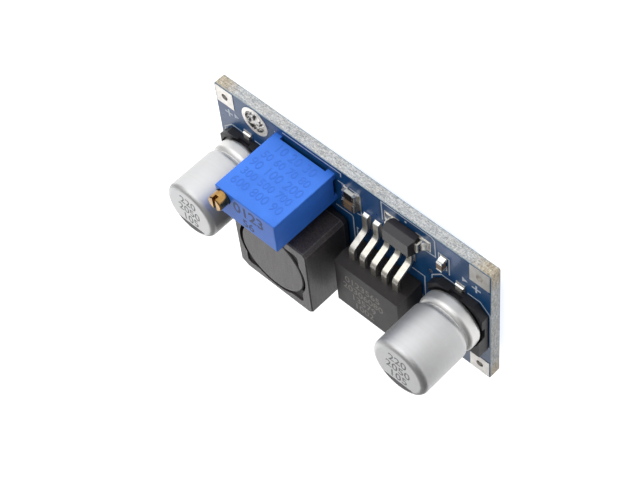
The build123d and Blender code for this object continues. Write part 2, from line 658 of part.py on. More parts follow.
def regulator_solder():
    """Solder round each foot and along the tab's end."""
    half = REG_LEAD_WIDTH / 2
    joint = film(-half, half, REG_FOOT_END_Y - REG_LEAD_FOOT + REG_LEAD_HEEL, REG_FOOT_END_Y)
    joint += Pos(0, REG_FOOT_END_Y, LAND_THICK) * solder_wedge(REG_LEAD_WIDTH, REG_LAND_TOE, REG_LEAD_THICK)
    pieces = [on_board(joint, x) for x in lead_places()]
    tab_half = REG_TAB_WIDTH / 2 - REG_TAB_CORNER
    slab = film(-tab_half, tab_half, REG_TAB_END_Y, REG_TAB_END_Y + REG_TAB_SOLDER_LENGTH)
    bead = solder_wedge(2 * tab_half, REG_TAB_SOLDER_TOE, REG_TAB_SOLDER_RISE)
    slab += Pos(0, REG_TAB_END_Y, LAND_THICK) * Rot(0, 0, 180) * bead
    pieces.append(on_board(slab, REG_X))
    return each_solid(*pieces)


# Diode

def diode_body():
    """Moulded body with a parting ridge, round its two folded leads."""
    level = SEAT + DIODE_HEIGHT / 2
    body = drafted_body(DIODE_LENGTH, DIODE_WIDTH, SEAT + DIODE_LIFT, level, SEAT + DIODE_HEIGHT, DIODE_DRAFT)
    for lead in diode_leads().solids():
        body -= Pos(-DIODE_X, -DIODE_Y, -BOARD_TOP) * lead
    return on_board(body, DIODE_X, DIODE_Y)


def diode_leads():
    """Two tinned straps that leave the parting line, run down and fold under the body."""
    level = SEAT + DIODE_HEIGHT / 2
    half = DIODE_LEAD_WIDTH / 2
    thick = DIODE_LEAD_THICK
    root = DIODE_LENGTH / 2 - DIODE_LEAD_INSIDE
    lead = block(root, DIODE_END, -half, half, level - thick / 2, level + thick / 2)
    lead += block(DIODE_END - thick, DIODE_END, -half, half, SEAT, level + thick / 2)
    lead += block(DIODE_END - DIODE_LEAD_FOOT, DIODE_END, -half, half, SEAT, SEAT + thick)
    bends = lead.edges().filter_by(Axis.Y).group_by(Axis.X)[-1]
    lead = fillet(bends, DIODE_LEAD_BEND)
    lead = on_board(lead)
    return each_solid(Pos(DIODE_X, DIODE_Y, 0) * lead, Pos(DIODE_X, DIODE_Y, 0) * Rot(0, 0, 180) * lead)


def diode_solder():
    """Solder from each strap out over its land."""
    half = DIODE_LEAD_WIDTH / 2
    joint = film(DIODE_END - DIODE_LEAD_FOOT, DIODE_END, -half, half)
    wedge = solder_wedge(DIODE_LEAD_WIDTH, DIODE_SOLDER_TOE, DIODE_SOLDER_RISE)
    joint += Pos(DIODE_END, 0, LAND_THICK) * Rot(0, 0, -90) * wedge
    return each_solid(on_board(joint, DIODE_X, DIODE_Y), on_board(joint, DIODE_X, DIODE_Y, 180))


# Chip parts

def chip_block(chip, low=0.0, high=None, inset=0.0):
    """Ceramic block between the two end caps of a chip part."""
    x, y, turn, length, width, height, end = chip
    half = length / 2 - end
    side = width / 2 - inset
    top = height if high is None else high
    return on_board(block(-half, half, -side, side, SEAT + low, SEAT + top), x, y, turn)


def chip_ends(chip):
    """Two tinned end caps with softened outer edges."""
    x, y, turn, length, width, height, end = chip
    half = length / 2
    cap = block(half - end, half, -width / 2, width / 2, SEAT, SEAT + height)
    cap = fillet(cap.edges().group_by(Axis.X)[-1], CHIP_EDGE)
    return each_solid(on_board(cap, x, y, turn), on_board(cap, x, y, turn + 180))


def resistor_body():
    """White ceramic block under the glass coat."""
    return chip_block(RESISTOR, high=RESISTOR[5] - RESISTOR_COAT)


def resistor_coat():
    """Dark glass coat over the resistive film."""
    return chip_block(RESISTOR, low=RESISTOR[5] - RESISTOR_COAT, inset=RESISTOR_COAT_INSET)


def chip_solder():
    """Solder from each chip end out over its land."""
    pieces = []
    for x, y, turn, length, width, height, end in CHIPS:
        joint = film(length / 2 - end, length / 2, -width / 2, width / 2)
        wedge = solder_wedge(width, CHIP_SOLDER_TOE, height * CHIP_SOLDER_CLIMB)
        joint += Pos(length / 2, 0, LAND_THICK) * Rot(0, 0, -90) * wedge
        for way in (0, 180):
            pieces.append(on_board(joint, x, y, turn + way))
    return each_solid(*pieces)


# Trimmer

def trimmer_housing():
    """Moulded case on four feet, open below, with the screw's bore and the wheel's pivot."""
    half_x = TRIM_LENGTH / 2
    half_y = TRIM_DEPTH / 2
    case = block(-half_x, half_x, -half_y, half_y, TRIM_FOOT, TRIM_HEIGHT)
    for way_x in (-1, 1):
        for way_y in (-1, 1):
            x = way_x * (half_x - TRIM_FOOT_LENGTH / 2)
            y = way_y * (half_y - TRIM_FOOT_WIDTH / 2)
            case += Pos(x, y, TRIM_FOOT / 2) * Box(TRIM_FOOT_LENGTH, TRIM_FOOT_WIDTH, TRIM_FOOT)
    case = fillet(case.edges().filter_by(Axis.Z).filter_by(lambda edge: edge.length > TRIM_HEIGHT / 2), TRIM_EDGE)
    case = fillet(case.edges().group_by(Axis.Z)[-1], TRIM_EDGE)
    inner_x = half_x - TRIM_WALL
    inner_y = half_y - TRIM_WALL
    case -= block(-inner_x, inner_x, -inner_y, inner_y, 0, CAVITY_TOP)
    screw = (SCREW_X - TRIM_X, SCREW_Y - TRIM_Y)
    case -= Pos(*screw, 0) * rod(SCREW_RECESS_RADIUS, RECESS_FLOOR, TRIM_HEIGHT + 1)
    case -= Pos(*screw, 0) * rod(WORM_TIP_RADIUS + RUNNING_GAP, BASE_TOP, TRIM_HEIGHT + 1)
    pivot_length = SCREW_INSET - TRIM_WALL / 2 + ROTOR_WIDTH / 2 - PIVOT_END_GAP
    pivot = Rot(90, 0, 0) * Cylinder(PIVOT_RADIUS, pivot_length)
    case += Pos(ROTOR_X - TRIM_X, half_y - TRIM_WALL / 2 - pivot_length / 2, ROTOR_LEVEL) * pivot
    back = ELEMENT_FACE_Y - TRIM_Y - ELEMENT_THICK
    for way in (-1, 1):
        edge = way * inner_x
        rib = block(min(edge, edge - way * ELEMENT_RIB), max(edge, edge - way * ELEMENT_RIB),
                    -inner_y, back, BASE_TOP, CAVITY_TOP)
        case += rib
    return on_board(case, TRIM_X, TRIM_Y)


def trimmer_pins():
    """Three round pins from the resistive element down through the board."""
    pin = rod(TRIM_PIN_RADIUS, -BOARD_THICK - PIN_TAIL, TRIM_PIN_INSIDE)
    pin = chamfer(pin.edges().filter_by(GeomType.CIRCLE).group_by(Axis.Z)[0], TRIM_PIN_BEVEL)
    return each_solid(*[on_board(pin, x, TRIM_Y) for x in trimmer_pin_places()])


def trimmer_base():
    """Sealing plate that closes the case and holds the pins and the screw's tail."""
    half_x = TRIM_LENGTH / 2 - TRIM_WALL - FIT_GAP
    half_y = TRIM_DEPTH / 2 - TRIM_WALL - FIT_GAP
    plate = block(-half_x, half_x, -half_y, half_y, TRIM_FOOT, BASE_TOP)
    for x in trimmer_pin_places():
        plate -= Pos(x - TRIM_X, 0, 0) * rod(TRIM_PIN_RADIUS, 0, BASE_TOP + 1)
    socket = rod(WORM_ROOT_RADIUS + RUNNING_GAP, BASE_TOP - WORM_TAIL - SCREW_END_GAP, BASE_TOP + 1)
    plate -= Pos(SCREW_X - TRIM_X, SCREW_Y - TRIM_Y, 0) * socket
    return on_board(plate, TRIM_X, TRIM_Y)


def worm_thread(low, high):
    """One-start thread that meshes with the wheel, as a ridge wound round the screw's core."""
    rise = WORM_TIP_RADIUS - WORM_ROOT_RADIUS
    path = Helix(TOOTH_PITCH, high - low, WORM_ROOT_RADIUS, center=(0, 0, low))
    start = Vector(WORM_ROOT_RADIUS, 0, low)
    section = make_face(Polyline(
        start + Vector(-THREAD_SUNK, 0, -TOOTH_ROOT_HALF), start + Vector(rise, 0, -THREAD_TIP_HALF),
        start + Vector(rise, 0, THREAD_TIP_HALF), start + Vector(-THREAD_SUNK, 0, TOOTH_ROOT_HALF), close=True))
    return sweep(section, path, is_frenet=True)


def trimmer_screw():
    """Brass adjusting screw: slotted head, journal, clip groove, worm and tail."""
    head_low = TRIM_HEIGHT - SCREW_HEAD_SINK
    head_high = TRIM_HEIGHT + SCREW_HEAD_OUT
    head = rod(SCREW_HEAD_RADIUS, head_low, head_high)
    head = chamfer(head.edges().filter_by(GeomType.CIRCLE).group_by(Axis.Z)[-1], SCREW_HEAD_BEVEL)
    slot = SCREW_SLOT_WIDTH / 2
    reach = 2 * SCREW_HEAD_RADIUS
    head -= block(-slot, slot, -reach, reach, head_high - SCREW_SLOT_DEPTH, head_high + 1)
    collar_low = CAVITY_TOP - SCREW_NECK - SCREW_COLLAR
    journal = rod(WORM_TIP_RADIUS, collar_low, head_low)
    groove_low = CAVITY_TOP - SCREW_NECK + RUNNING_GAP
    journal -= rod(WORM_TIP_RADIUS + 1, groove_low, CAVITY_TOP) - rod(SCREW_NECK_RADIUS, groove_low, CAVITY_TOP)
    core = rod(WORM_ROOT_RADIUS, BASE_TOP - WORM_TAIL, collar_low + SCREW_COLLAR / 2)
    half_thread = TOOTH_PITCH * WORM_TURNS / 2
    thread = worm_thread(ROTOR_LEVEL - half_thread, ROTOR_LEVEL + half_thread)
    screw = head + journal + core + thread
    return on_board(screw, SCREW_X, SCREW_Y)


def trimmer_seal():
    """Rubber ring under the screw head that keeps dirt out of the bore."""
    gap = TRIM_HEIGHT - SCREW_HEAD_SINK - RECESS_FLOOR
    ring = Torus(WORM_TIP_RADIUS + RUNNING_GAP + SEAL_WIRE, SEAL_WIRE)
    return on_board(Pos(0, 0, RECESS_FLOOR + gap / 2) * ring, SCREW_X, SCREW_Y)


def trimmer_clip():
    """Forked clip that sits against the case's roof and keeps the screw from lifting."""
    top = CAVITY_TOP
    side = SCREW_INSET - TRIM_WALL - FIT_GAP
    plate = block(-side, CLIP_SIDE, -CLIP_SIDE, side, top - CLIP_THICK, top)
    slot_half = SCREW_NECK_RADIUS + RUNNING_GAP
    plate -= block(-side - 1, 0, -slot_half, slot_half, 0, top + 1)
    plate -= rod(slot_half, 0, top + 1)
    return on_board(plate, SCREW_X, SCREW_Y)


def tooth_ring():
    """Outline of the toothed wheel, one straight-sided tooth at each pitch."""
    points = []
    for tooth in range(ROTOR_TEETH):
        middle = pi + 2 * pi * (tooth + 0.5) / ROTOR_TEETH
        for radius, offset in ((ROTOR_ROOT_RADIUS, -TOOTH_ROOT_HALF), (ROTOR_TIP_RADIUS, -TOOTH_TIP_HALF),
                               (ROTOR_TIP_RADIUS, TOOTH_TIP_HALF), (ROTOR_ROOT_RADIUS, TOOTH_ROOT_HALF)):
            angle = middle + asin(offset / radius)
            points.append((radius * cos(angle), radius * sin(angle)))
    return make_face(Polyline(*points, close=True))


def wheel_place(shape, y):
    """Stands a shape drawn about Z on the wheel's axis, its base at y and its top towards -Y."""
    return Pos(ROTOR_X, y, BOARD_TOP + ROTOR_LEVEL) * Rot(90, 0, 0) * shape


def trimmer_rotor():
    """Moulded toothed wheel with a hub bore that runs on the case's pivot."""
    hub_top_y = TRIM_Y + TRIM_DEPTH / 2 - TRIM_WALL - ROTOR_WALL_GAP
    wheel_top_y = SCREW_Y + ROTOR_WIDTH / 2
    wheel = wheel_place(extrude(tooth_ring(), ROTOR_WIDTH), wheel_top_y)
    wheel += wheel_place(rod(ROTOR_HUB_RADIUS, 0, hub_top_y - wheel_top_y), hub_top_y)
    bore = wheel_place(rod(PIVOT_RADIUS + RUNNING_GAP, -1, TRIM_DEPTH), hub_top_y)
    wheel -= bore
    hole = Pos(ROTOR_HOLE_PLACE, 0, 0) * rod(ROTOR_HOLE_RADIUS, -1, ROTOR_WIDTH + 1)
    for turn in (30, 150, 270):
        wheel -= wheel_place(Rot(0, 0, turn) * hole, wheel_top_y)
    return wheel


def trimmer_wiper():
    """Sprung contact on the wheel: a disc with an arm that reaches the track."""
    face_y = SCREW_Y - ROTOR_WIDTH / 2
    track_y = ELEMENT_FACE_Y + TRACK_THICK + WIPER_CONTACT_GAP
    disc = wheel_place(rod(WIPER_HUB_RADIUS, 0, WIPER_THICK), face_y)
    tip = face_y - track_y
    bow = [(TRACK_RADIUS + across, tip - short) for across, short in WIPER_BOW]
    arm = side_profile([(WIPER_ARM_ROOT[0], 0), *bow, (WIPER_ARM_ROOT[1], 0)], WIPER_ARM_WIDTH)
    return disc + wheel_place(arm, face_y)


def trimmer_element():
    """Ceramic plate that carries the resistive track, behind the pins."""
    half_x = TRIM_LENGTH / 2 - TRIM_WALL - ELEMENT_END_GAP
    y = ELEMENT_FACE_Y
    plate = block(TRIM_X - half_x, TRIM_X + half_x, y - ELEMENT_THICK, y,
                  BOARD_TOP + BASE_TOP, BOARD_TOP + CAVITY_TOP - ELEMENT_TOP_GAP)
    corners = plate.edges().filter_by(Axis.Y).group_by(Axis.Z)[-1]
    return chamfer(corners, ELEMENT_CORNER)


def trimmer_track():
    """Printed resistive ring, open towards the pins."""
    ring = extrude(Circle(TRACK_RADIUS + TRACK_WIDTH / 2) - Circle(TRACK_RADIUS - TRACK_WIDTH / 2), TRACK_THICK)
    half_gap = radians((360 - TRACK_SWEEP) / 2)
    reach = 2 * TRACK_RADIUS
    gap = make_face(Polyline((0, 0), (reach * sin(half_gap), -reach * cos(half_gap)),
                             (-reach * sin(half_gap), -reach * cos(half_gap)), close=True))
    ring -= Pos(0, 0, -1) * extrude(gap, 2)
    return wheel_place(ring, ELEMENT_FACE_Y + TRACK_THICK)


def trimmer_solder():
    """Solder in each pin's hole, with a cone round its tail under the board."""
    reach = TRIM_LAND_RADIUS - SOLDER_CONE_MARGIN
    tip = PIN_TAIL - SOLDER_CONE
    face = make_face([
        Line((TRIM_PIN_RADIUS, 0, PIN_TAIL), (reach, 0, PIN_TAIL)),
        ThreePointArc((reach, 0, PIN_TAIL), (TRIM_PIN_RADIUS + SOLDER_CONE_WAIST, 0, PIN_TAIL - SOLDER_CONE_WAIST),
                      (TRIM_PIN_RADIUS, 0, tip)),
        Line((TRIM_PIN_RADIUS, 0, tip), (TRIM_PIN_RADIUS, 0, PIN_TAIL)),
    ])
    joint = revolve(face, Axis.Z)
    joint += rod(TRIM_HOLE_RADIUS, PIN_TAIL, BOARD_TOP) - rod(TRIM_PIN_RADIUS, 0, BOARD_TOP + 1)
    return each_solid(*[Pos(x, TRIM_Y, 0) * joint for x in trimmer_pin_places()])


def build_nodes():
    """Every separate piece by its name."""
    nodes = {
        "printed_board": printed_board(),
        "mounting_hole_linings": mounting_hole_linings(),
        "trimmer_hole_linings": trimmer_hole_linings(),
        "surface_lands": surface_lands(),
    }
    for name, (x, y) in wire_places().items():
        nodes[name] = Pos(x, y, 0) * wire_pad()
    for name, place in CAP_PLACES.items():
        nodes[name + "_can"] = on_board(capacitor_can(), *place)
        nodes[name + "_base"] = on_board(capacitor_base(), *place)
        nodes[name + "_leads"] = on_board(capacitor_leads(), *place)
    nodes["capacitor_solder"] = capacitor_solder()
    coil_pieces = {
        "inductor_shield": inductor_shield(),
        "inductor_core": inductor_core(),
        "inductor_winding": inductor_winding(),
        "inductor_base": inductor_base(),
        "inductor_clips": inductor_clips(),
        "inductor_adhesive": inductor_adhesive(),
        "inductor_solder": inductor_solder(),
    }
    for name, shape in coil_pieces.items():
        nodes[name] = on_board(shape, COIL_X, COIL_Y)
    nodes["regulator_body"] = regulator_body()
    nodes["regulator_tab"] = regulator_tab()
    nodes["regulator_leads"] = regulator_leads()
    nodes["regulator_solder"] = regulator_solder()
    nodes["diode_body"] = diode_body()
    nodes["diode_leads"] = diode_leads()
    nodes["diode_solder"] = diode_solder()
    nodes["feedback_resistor_body"] = resistor_body()
    nodes["feedback_resistor_coat"] = resistor_coat()
    nodes["feedback_resistor_ends"] = chip_ends(RESISTOR)
    nodes["sense_capacitor_body"] = chip_block(SENSE_CAPACITOR)
    nodes["sense_capacitor_ends"] = chip_ends(SENSE_CAPACITOR)
    nodes["bypass_capacitor_body"] = chip_block(BYPASS_CAPACITOR)
    nodes["bypass_capacitor_ends"] = chip_ends(BYPASS_CAPACITOR)
    nodes["chip_solder"] = chip_solder()
    nodes["trimmer_housing"] = trimmer_housing()
    nodes["trimmer_base"] = trimmer_base()
    nodes["trimmer_pins"] = trimmer_pins()
    nodes["trimmer_screw"] = trimmer_screw()
    nodes["trimmer_seal"] = trimmer_seal()
    nodes["trimmer_clip"] = trimmer_clip()
    nodes["trimmer_rotor"] = trimmer_rotor()
    nodes["trimmer_wiper"] = trimmer_wiper()
    nodes["trimmer_element"] = trimmer_element()
    nodes["trimmer_track"] = trimmer_track()
    nodes["trimmer_solder"] = trimmer_solder()
    return {name: each_solid(shape) for name, shape in nodes.items()}


def main():
    os.makedirs("parts", exist_ok=True)
    for name, shape in build_nodes().items():
        shape.label = name
        export_step(shape, os.path.join("parts", name + ".step"))


main()
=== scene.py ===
import math

import bmesh
import bpy
from mathutils import Matrix, Vector


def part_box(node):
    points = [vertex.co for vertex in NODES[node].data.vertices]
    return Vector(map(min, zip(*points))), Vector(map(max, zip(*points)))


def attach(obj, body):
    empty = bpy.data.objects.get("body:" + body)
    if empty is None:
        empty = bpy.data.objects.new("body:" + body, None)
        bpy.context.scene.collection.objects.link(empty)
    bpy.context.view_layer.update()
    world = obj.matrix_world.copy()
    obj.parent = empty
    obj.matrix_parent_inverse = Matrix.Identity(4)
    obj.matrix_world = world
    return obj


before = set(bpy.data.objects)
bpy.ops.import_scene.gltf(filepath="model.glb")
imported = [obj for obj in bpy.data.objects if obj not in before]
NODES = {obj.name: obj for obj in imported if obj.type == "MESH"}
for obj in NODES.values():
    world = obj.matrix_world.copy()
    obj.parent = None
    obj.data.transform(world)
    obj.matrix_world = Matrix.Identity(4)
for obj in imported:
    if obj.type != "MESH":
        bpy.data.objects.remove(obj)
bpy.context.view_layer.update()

# Boost converter module. Lengths are in millimetres of the part's frame, and MM turns them to metres.
# Names that end in _M are in metres already.
MM = 0.001


def top_of(node):
    """Height of a node's top, in millimetres."""
    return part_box(node)[1].z / MM


BOARD_TOP = top_of("printed_board")
BOARD_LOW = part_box("printed_board")[0].z / MM

# Camera, solved from the photograph
CAMERA_RIGHT = Vector((0.72175, -0.074019, -0.688184))
CAMERA_DOWN = Vector((0.532238, -0.57628, 0.620181))
CAMERA_AHEAD = Vector((-0.442492, -0.813893, -0.376535))
CAMERA_PLACE_M = (0.091875, 0.172211, 0.085729)
CAMERA_LENS = 101.14
CAMERA_SENSOR = 36.0
CAMERA_CLIP_M = (0.01, 20.0)

# Light and stage. Each light has its direction, distance, side and watts.
LIGHT_AIM_M = Vector((0, 0, 0.006))
KEY_LIGHT = ((-0.25, 0.93, 0.5), 0.45, 0.55, 1.45)
BACK_LIGHT = ((-0.66, -0.70, 0.38), 0.5, 0.44, 0.85)
SKY_STRENGTH = 0.26
FLOOR_HALF_M = 6.0
FLOOR_GLOW = 0.84
CARD_X_M = 0.048
CARD_HALF_M = 0.11
CARD_FOOT_M = 0.0005
CARD_TOP_M = 0.07

# Thickness of what lies on the surfaces
PRINT_THICK = 0.012
POUR_THICK = 0.02
RING_THICK = 0.03
SEGMENT_THICK = 0.008
NUMBER_THICK = 0.006
RELIEF_THICK = 0.04

# Edge of the board: how far the lacquer laps over it, and where its corners turn to bare resin
LAP_LOW = 0.09
LAP_HIGH = 0.11
RESIN_FROM_X = 20.6
RESIN_FROM_Y = 9.6

# Capacitor cans: places, top of the band at the foot that is painted paler as a highlight, and the outline
# printed round the base
CAN_PLACES = {"input": (-16.6, -0.25), "output": (17.1, -0.1)}
CAN_FOOT_HIGHLIGHT_TOP = 2.15
CAN_OUTLINE_HALF = 4.32
CAN_OUTLINE_CUT = 2.9
CAN_OUTLINE_GAP = 1.0
CAN_OUTLINE_TAIL = 3.6
SEGMENT_RADIUS = 3.3
SEGMENT_CHORD = 2.42
SEGMENT_STEPS = 24

# Plain numbers that stand where the object is printed. Their weight is a share of their size.
PLAIN_WEIGHT = 0.006
HEAVY_WEIGHT = 0.022
CAN_NUMBERS = (("220", 1.75), ("2050", 0.1), ("105", -1.5))
CAN_NUMBER_SIZE = 1.85
REGULATOR_NUMBERS = ("0123565", "20306080", "13579", "1002")
REGULATOR_NUMBER_SIZE = 1.6
REGULATOR_NUMBER_START = (-0.6, 2.1)
REGULATOR_NUMBER_PITCH = 1.5
TRIMMER_TOP_NUMBERS = (("0123", 2.5, (0.5, 0.75)), ("56", 1.9, (0.2, -1.35)))
TRIMMER_TOP_LIFT = 0.002
TRIMMER_SIDE_NUMBERS = (("10 20 30", 1.8), ("50 60 70 80", 1.55), ("90 100 200", 1.8),
                        ("300 500 700", 1.55), ("600 800 90", 1.75))
TRIMMER_SIDE_LIFT = 0.004
TRIMMER_SIDE_PITCH = 1.6

# White print on the board
STROKE_WIDTH = 0.16
TRIMMER_STROKE = ((-11.57, 8.95), (-11.63, 9.95), (-0.9, 10.02), (-0.9, 9.4))
INDUCTOR_STROKES = (
    ((-2.2, 3.15), (0.35, 3.15), (0.53, 2.95), (0.53, -9.9)),
    ((-12.75, -9.9), (-12.75, 1.9)),
)
REGULATOR_STROKES = (
    ((9.67, 1.33), (11.62, 1.31), (11.62, -4.2)),
    ((1.05, -4.2), (1.05, 1.31), (1.3, 1.31)),
)
DIODE_STROKE = ((5.42, 6.84), (5.36, 10.2), (12.9, 10.22), (13.36, 9.83), (13.44, 6.85), (11.35, 6.75))
CHIP_STROKES = (
    ((0.38, 8.36), (1.75, 8.36), (1.98, 8.0), (1.98, 4.5), (1.3, 4.35)),
    ((-1.49, 8.3), (-0.32, 8.3)),
    ((-0.35, 6.75), (-0.05, 6.75)),
    ((1.7, 6.75), (1.95, 6.75)),
    ((-0.45, 4.9), (-0.45, 4.4), (0.1, 4.4)),
    ((13.9, 5.6), (13.9, 8.2), (15.45, 8.2), (15.45, 5.2)),
)
DIODE_DOT = (9.04, 9.6, 0.17)
ARROW_XS = (-18.3, 17.7)
ARROW = ((-0.35, 6.0), (-0.35, 6.8), (0.45, 6.4))
UNDER_STROKE = ((-11.4, 9.3), (-1.9, 9.3), (-1.9, 5.35), (-11.4, 5.35), (-11.4, 8.9), (-11.0, 9.3))
UNDER_DOT = (-10.6, 8.5, 0.22)

# Copper: outlines of the raised areas, and the vias
TOP_POURS = (
    ((13.7, 10.25), (13.75, 8.5), (15.7, 8.5), (15.9, 7.9), (16.3, 7.7), (17.2, 9.9), (17.2, 10.25)),
    ((-12.2, 10.25), (-12.2, 9.2), (-10.2, 9.2), (-10.2, 10.25)),
    ((2.3, 10.25), (2.3, 5.2), (3.0, 4.9), (5.0, 4.9), (5.0, 10.25)),
)
UNDER_POURS = (
    ((-17.8, -9.9), (12.2, -9.9), (12.2, -5.4), (17.9, -5.4), (17.9, 4.6), (-17.8, 4.6)),
    ((-1.3, 5.1), (17.9, 5.1), (17.9, 9.9), (-1.3, 9.9)),
    ((-20.9, -6.9), (-18.3, -6.9), (-18.3, 6.9), (-20.9, 6.9)),
    ((18.4, -6.9), (20.9, -6.9), (20.9, 6.9), (18.4, 6.9)),
)
VIA_PLACES = ((2.5, 3.9), (5.6, 5.3), (10.2, 5.6), (12.6, 3.4), (-12.4, 5.0), (12.0, -6.5))
VIA_OUTER = 0.3
VIA_INNER = 0.15
VIA_STEPS = 16


# Camera

def set_camera():
    data = bpy.data.cameras.new("camera")
    data.sensor_width = CAMERA_SENSOR
    data.lens = CAMERA_LENS
    data.clip_start, data.clip_end = CAMERA_CLIP_M
    camera = bpy.data.objects.new("camera", data)
    turn = Matrix((CAMERA_RIGHT, -CAMERA_DOWN, -CAMERA_AHEAD)).transposed()
    camera.matrix_world = Matrix.Translation(CAMERA_PLACE_M) @ turn.to_4x4()
    bpy.context.collection.objects.link(camera)
    bpy.context.scene.camera = camera


# Materials

def grey(value):
    return (value, value, value)


def rgba(colour):
    """A plain colour made opaque. A socket or a number stays as it is."""
    return (*colour, 1.0) if isinstance(colour, tuple) else colour


class Shade:
    """A node material with a few short ways to add detail."""

    def __init__(self, name, roughness=0.5, metallic=0.0, specular=0.5, coat=0.0, coat_roughness=0.1):
        self.mat = bpy.data.materials.new(name)
        self.mat.use_nodes = True
        self.tree = self.mat.node_tree
        self.shader = self.tree.nodes["Principled BSDF"]
        self.put("Roughness", roughness)
        self.put("Metallic", metallic)
        self.put("Specular IOR Level", specular)
        self.put("Coat Weight", coat)
        self.put("Coat Roughness", coat_roughness)
        self.place = self.node("ShaderNodeTexCoord").outputs["Object"]

    def feed(self, socket, value):
        """Sets an input to a plain value, or links another node's output to it."""
        if isinstance(value, (int, float, tuple)):
            socket.default_value = value
        else:
            self.tree.links.new(value, socket)

    def put(self, socket, value):
        """Feeds an input of the surface shader."""
        self.feed(self.shader.inputs[socket], value)

    def node(self, kind, **inputs):
        """A new node with its inputs fed. An underscore in an input's name stands for a space."""
        made = self.tree.nodes.new(kind)
        for name, value in inputs.items():
            self.feed(made.inputs[name.replace("_", " ")], value)
        return made

    def stretched(self, x, y, z):
        """The object's coordinates scaled along each axis, so that noise on them is drawn out."""
        return self.node("ShaderNodeMapping", Vector=self.place, Scale=(x, y, z)).outputs["Vector"]

    def cloud(self, size_mm, detail=3.0, rough=0.55, place=None):
        """Noise whose lumps are about size_mm across."""
        return self.node("ShaderNodeTexNoise", Vector=place or self.place, Scale=1.0 / (size_mm * MM),
                         Detail=detail, Roughness=rough).outputs["Fac"]

    def cells(self, size_mm):
        """Distance from scattered points about size_mm apart."""
        return self.node("ShaderNodeTexVoronoi", Vector=self.place,
                         Scale=1.0 / (size_mm * MM)).outputs["Distance"]

    def ramp(self, value, *stops):
        """Colour that runs through stops of (value, colour)."""
        made = self.node("ShaderNodeValToRGB", Fac=value)
        points = made.color_ramp.elements
        while len(points) < len(stops):
            points.new(0.5)
        for point, (at, colour) in zip(points, stops):
            point.position = at
            point.color = rgba(colour)
        return made.outputs["Color"]

    def share(self, value, low, high):
        """0 up to low, 1 from high on."""
        return self.ramp(value, (low, grey(0.0)), (high, grey(1.0)))

    def levels(self, value, low, high):
        """Maps 0..1 to low..high."""
        return self.node("ShaderNodeMapRange", Value=value, To_Min=low, To_Max=high).outputs["Result"]

    def mix(self, share, first, second):
        """First where share is 0, second where it is 1."""
        made = self.tree.nodes.new("ShaderNodeMix")
        made.data_type = "RGBA"
        factor, colour_a, colour_b, result = 0, 6, 7, 2
        self.feed(made.inputs[factor], share)
        self.feed(made.inputs[colour_a], rgba(first))
        self.feed(made.inputs[colour_b], rgba(second))
        return made.outputs[result]

    def math(self, operation, first, second=0.0):
        made = self.tree.nodes.new("ShaderNodeMath")
        made.operation = operation
        self.feed(made.inputs[0], first)
        self.feed(made.inputs[1], second)
        return made.outputs["Value"]

    def times(self, first, second):
        return self.math("MULTIPLY", first, second)

    def plus(self, first, second):
        return self.math("ADD", first, second)

    def size_of(self, value):
        return self.math("ABSOLUTE", value)

    def axis(self, name):
        """One of the object's coordinates, in metres."""
        return self.node("ShaderNodeSeparateXYZ", Vector=self.place).outputs[name]

    def facing(self, name):
        """One component of the surface's own direction, without its sign."""
        normal = self.node("ShaderNodeNewGeometry").outputs["True Normal"]
        return self.size_of(self.node("ShaderNodeSeparateXYZ", Vector=normal).outputs[name])

    def upright(self):
        """1 on upright walls, 0 on faces that look up or down."""
        return self.math("LESS_THAN", self.facing("Z"), 0.5)

    def edges(self, width_mm):
        """1 near the edges of the form, 0 on its faces."""
        rounded = self.node("ShaderNodeBevel", Radius=width_mm * MM)
        rounded.samples = 4
        flat = self.node("ShaderNodeNewGeometry")
        agree = self.tree.nodes.new("ShaderNodeVectorMath")
        agree.operation = "DOT_PRODUCT"
        self.feed(agree.inputs[0], rounded.outputs["Normal"])
        self.feed(agree.inputs[1], flat.outputs["True Normal"])
        lost = self.math("SUBTRACT", 1.0, agree.outputs["Value"])
        return self.math("MINIMUM", self.times(lost, 6.0), 1.0)

    def rubbed(self, width_mm, patch_mm):
        """Share of wear along the edges, uneven in patches."""
        patches = self.ramp(self.cloud(patch_mm), (0.35, grey(0.2)), (0.65, grey(1.0)))
        return self.times(self.edges(width_mm), patches)

    def bump(self, height, depth_mm, strength):
        made = self.node("ShaderNodeBump", Height=height, Distance=depth_mm * MM, Strength=strength)
        self.put("Normal", made.outputs["Normal"])


def lacquer_shade(name, coat):
    """Start of a glossy lacquered surface."""
    return Shade(name, roughness=0.3, specular=0.36, coat=coat, coat_roughness=0.12)


def lacquer_colour(s, base, light, dark):
    """Coloured lacquer over laminate, with the weave just showing."""
    tint = s.ramp(s.cloud(3.2), (0.3, dark), (0.7, base))
    fleck = s.share(s.cloud(0.16, 2.0), 0.45, 0.8)
    return s.mix(s.times(fleck, 0.22), tint, light)


def lacquer_gloss(s):
    return s.levels(s.cloud(1.1), 0.22, 0.4)


def pour_material(name):
    """Lacquer over copper, paler than over bare laminate."""
    s = lacquer_shade(name, 0.15)
    s.put("Base Color", lacquer_colour(s, (0.026, 0.105, 0.29), (0.08, 0.19, 0.38), (0.020, 0.080, 0.24)))
    s.put("Roughness", lacquer_gloss(s))
    s.bump(s.cloud(0.35), 0.012, 0.5)
    return s.mat


